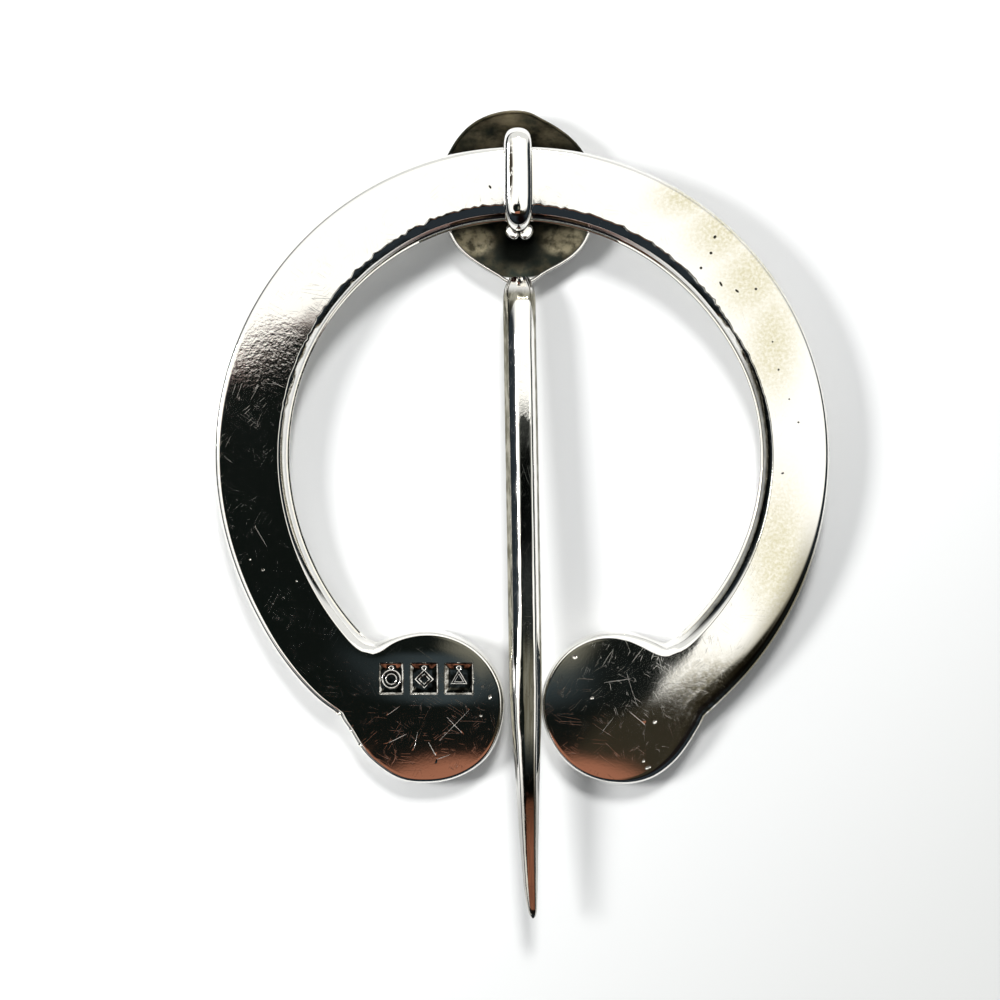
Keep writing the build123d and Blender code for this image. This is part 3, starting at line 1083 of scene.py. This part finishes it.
def make_shank():
    """The faceted shank, hand-hammered a little, from its root to its tip."""
    wide, thick, drift = (smooth_table(t) for t in (shank_wide, shank_thick, shank_drift))
    section = shank_section
    rise = radians(shank_rise)
    rows = []
    for stop in shank_stops:
        run = stop * shank_length
        middle = Vector((drift(stop), shank_root[0] - run * cos(rise),
                         shank_root[1] + run * sin(rise)))
        lower = min(1, max(0, (stop - shoulder_from) / shoulder_over))
        row = []
        for aside, up in section:
            aside = widen_shoulder(aside, lower)
            lump = 1
            if up > 0.3:
                lump += shank_long_height * noise.noise(
                    Vector((aside * 0.3, up, run * shank_long_waves)))
            if 0.3 < up < 0.999:
                lump += shank_short_height * noise.noise(
                    Vector((aside * 4, up * 3, run * shank_short_waves)))
            out = up * thick(stop) * shank_thickness * lump
            row.append(middle + Vector((aside * wide(stop) * shank_width * lump,
                                        out * sin(rise), out * cos(rise))))
        rows.append(row)
    root = sum(rows[0], Vector()) / len(section)
    tip = sum(rows[-1], Vector()) / len(section)
    return draw_out("shank", [[root] * len(section)] + rows + [[tip] * len(section)])


def make_pin():
    """The head plate, the strap with its toes and the shank, soldered into one."""
    pin = make_head()
    strap = make_strap()
    for toe in toes:
        join_with(strap, make_toe(**toe), "UNION")
    join_with(pin, strap, "UNION")
    join_with(pin, make_shank(), "UNION")
    shade(pin, 40)
    lay_down(pin, pin_turn)
    pin.data.materials.clear()
    pin.data.materials.append(make_pin_silver())
    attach(pin, "pin")
    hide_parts("pin")


# The paper, the lights and the camera
camera_height = 0.18299
camera_spot = (-0.00140, -0.00293)
frame_width = 0.06472
frame_level = 0.00299
sensor_width = 36
paper_size = 3
paper_lit = (0.86, 0.865, 0.86)
# Painted shade: the paper's colour turns greyer towards the lower right
paper_painted_shade = (0.66, 0.665, 0.65)
paper_shade_range = (0.005, 0.075)
card_level = 0.10
card_size = 0.22
lights = [
    {"name": "window_left", "place": (-0.58, 0.06, 0.50), "size": 0.20, "power": 4.4},
    {"name": "window_top", "place": (0.04, 0.52, 0.62), "size": 0.20, "power": 4.4},
]

# The room, which the silver mirrors dark low down and on one side and pale high
# up and on the other, and which lights everything else evenly
dark_way = (0.62, -0.78, 0)
dark_pull = 0.80
pale_way = (0.45, 0.89, 0)
pale_pull = 0.50
pale_levels = (0.34, 0.50)
dark_heights = (0.10, 0.30)
room_darkest = (0.006, 0.008, 0.008)
room_dark = (0.022, 0.029, 0.036)
room_pale = (0.85, 0.86, 0.85)
room_light = (0.80, 0.82, 0.84, 1)
room_light_strength = 0.37
backdrop_colour = (0.86, 0.865, 0.87, 1)

# Patches of the card above the brooch, which its polished back mirrors: the
# middle and the reach of each in metres, how soft its edge is, and its colour
card_white = (1.25, 1.24, 1.18)
card_patches = [
    ((-0.0205, -0.0246), (0.0300, 0.0293), 0.06, (0.36, 0.26, 0.24)),
    ((-0.0175, -0.0275), (0.0300, 0.0315), 0.06, (0.004, 0.006, 0.005)),
    ((0.0010, -0.0200), (0.0158, 0.0320), 0.07, (0.004, 0.006, 0.005)),
    ((0.0009, -0.0020), (0.0100, 0.0115), 0.08, (0.004, 0.006, 0.005)),
    ((0.0006, 0.0005), (0.0026, 0.0150), 0.08, (0.004, 0.006, 0.005)),
    ((0.0015, 0.0000), (0.0006, 0.0130), 0.9, (0.09, 0.10, 0.10)),
    ((0.0190, -0.0520), (0.0205, 0.0205), 0.20, (0.030, 0.026, 0.016)),
    ((0.0000, -0.0780), (0.0450, 0.0362), 0.08, (0.36, 0.145, 0.085)),
    ((0.0260, -0.0560), (0.0170, 0.0200), 0.35, (0.030, 0.026, 0.016)),
    ((0.0440, -0.0670), (0.0370, 0.0370), 0.50, (0.035, 0.030, 0.018)),
    ((0.1000, -0.0900), (0.0750, 0.0800), 0.60, (0.020, 0.017, 0.012)),
    ((0.0000, -0.1180), (0.3000, 0.0530), 0.10, (0.010, 0.008, 0.007)),
    ((-0.0040, -0.0300), (0.0160, 0.0070), 0.9, (0.040, 0.054, 0.060)),
    ((0.0010, -0.0190), (0.0090, 0.0130), 0.6, (0.19, 0.185, 0.145)),
]


def make_floor():
    """The white paper, with painted shade that greys it away from the windows."""
    bpy.ops.object.select_all(action="DESELECT")
    bpy.ops.mesh.primitive_plane_add(size=paper_size)
    paper = bpy.context.object
    paper.name = "paper"
    material = bpy.data.materials.new("white_paper")
    material.use_nodes = True
    tree = material.node_tree
    shader = tree.nodes["Principled BSDF"]
    spot = put(tree, "ShaderNodeTexCoord").outputs["Object"]
    place = put(tree, "ShaderNodeSeparateXYZ", {0: spot})
    # Painted shade, greyer towards the lower right
    fall = sum_up(tree, "SUBTRACT", place.outputs["X"], place.outputs["Y"])
    shade_share = share_between(tree, fall, *paper_shade_range)
    tree.links.new(mix_colours(tree, shade_share, paper_lit, paper_painted_shade), shader.inputs["Base Color"])
    shader.inputs["Roughness"].default_value = 0.9
    shader.inputs["Specular IOR Level"].default_value = 0.1
    paper.data.materials.append(material)


def make_card():
    """The card that the polished back mirrors; it lights and shades nothing else."""
    bpy.ops.object.select_all(action="DESELECT")
    bpy.ops.mesh.primitive_plane_add(size=card_size, location=(0, 0, card_level))
    card = bpy.context.object
    card.name = "mirrored_card"
    card.visible_camera = False
    card.visible_diffuse = False
    card.visible_shadow = False
    material = bpy.data.materials.new("card")
    material.use_nodes = True
    tree = material.node_tree
    tree.nodes.clear()
    spot = put(tree, "ShaderNodeTexCoord").outputs["Object"]
    colour = card_white
    for middle, reach, soft, tone in card_patches:
        share = soft_patch(tree, spot, middle, reach, soft)
        colour = mix_colours(tree, share, colour, tone)
    glow = put(tree, "ShaderNodeEmission", {"Color": colour, "Strength": 1.0})
    put(tree, "ShaderNodeOutputMaterial", {"Surface": glow.outputs[0]})
    card.data.materials.append(material)


def make_light(name, place, size, power):
    """A round lamp that faces the brooch."""
    light = bpy.data.lights.new(name, "AREA")
    light.shape = "DISK"
    light.size = size
    light.energy = power
    lamp = bpy.data.objects.new(name, light)
    bpy.context.scene.collection.objects.link(lamp)
    lamp.location = place
    lamp.rotation_euler = (-Vector(place)).to_track_quat("-Z", "Y").to_euler()
    lamp.visible_camera = False
    return lamp


def make_camera():
    """The camera straight above the brooch's back."""
    view = bpy.data.cameras.new("camera")
    view.sensor_width = sensor_width
    distance = camera_height - frame_level
    view.lens = view.sensor_width * distance / frame_width
    view.clip_start = 0.01
    camera = bpy.data.objects.new("camera", view)
    bpy.context.scene.collection.objects.link(camera)
    camera.location = (*camera_spot, camera_height)
    bpy.context.scene.camera = camera


def make_world():
    """The room as the silver mirrors it, as it lights the paper, and as the camera sees it."""
    world = bpy.data.worlds.new("studio")
    bpy.context.scene.world = world
    world.use_nodes = True
    tree = world.node_tree
    tree.nodes.clear()
    way = put(tree, "ShaderNodeTexCoord").outputs["Generated"]
    height = put(tree, "ShaderNodeSeparateXYZ", {0: way}).outputs["Z"]

    def towards(side, pull):
        near = work_places(tree, "DOT_PRODUCT", way, side)["Value"]
        return sum_up(tree, "MULTIPLY", sum_up(tree, "MAXIMUM", near, 0.0), pull)

    level = sum_up(tree, "SUBTRACT", height, towards(dark_way, dark_pull))
    level = sum_up(tree, "ADD", level, towards(pale_way, pale_pull))
    dark = mix_colours(tree, share_between(tree, height, *dark_heights), room_darkest, room_dark)
    mirrored = mix_colours(tree, share_between(tree, level, *pale_levels), dark, room_pale)
    soft = put(tree, "ShaderNodeBackground", {"Color": room_light, "Strength": room_light_strength})
    room = put(tree, "ShaderNodeBackground", {"Color": mirrored, "Strength": 1.0})
    backdrop = put(tree, "ShaderNodeBackground", {"Color": backdrop_colour, "Strength": 1.0})
    ray = put(tree, "ShaderNodeLightPath").outputs
    both = put(tree, "ShaderNodeMixShader", {
        0: ray["Is Glossy Ray"], 1: soft.outputs[0], 2: room.outputs[0]})
    seen = put(tree, "ShaderNodeMixShader", {
        0: ray["Is Camera Ray"], 1: both.outputs[0], 2: backdrop.outputs[0]})
    put(tree, "ShaderNodeOutputWorld", {"Surface": seen.outputs[0]})


make_hoop()
make_pin()
make_floor()
make_card()
for light in lights:
    make_light(**light)
make_world()
make_camera()
bpy.context.scene.view_settings.view_transform = "Standard"
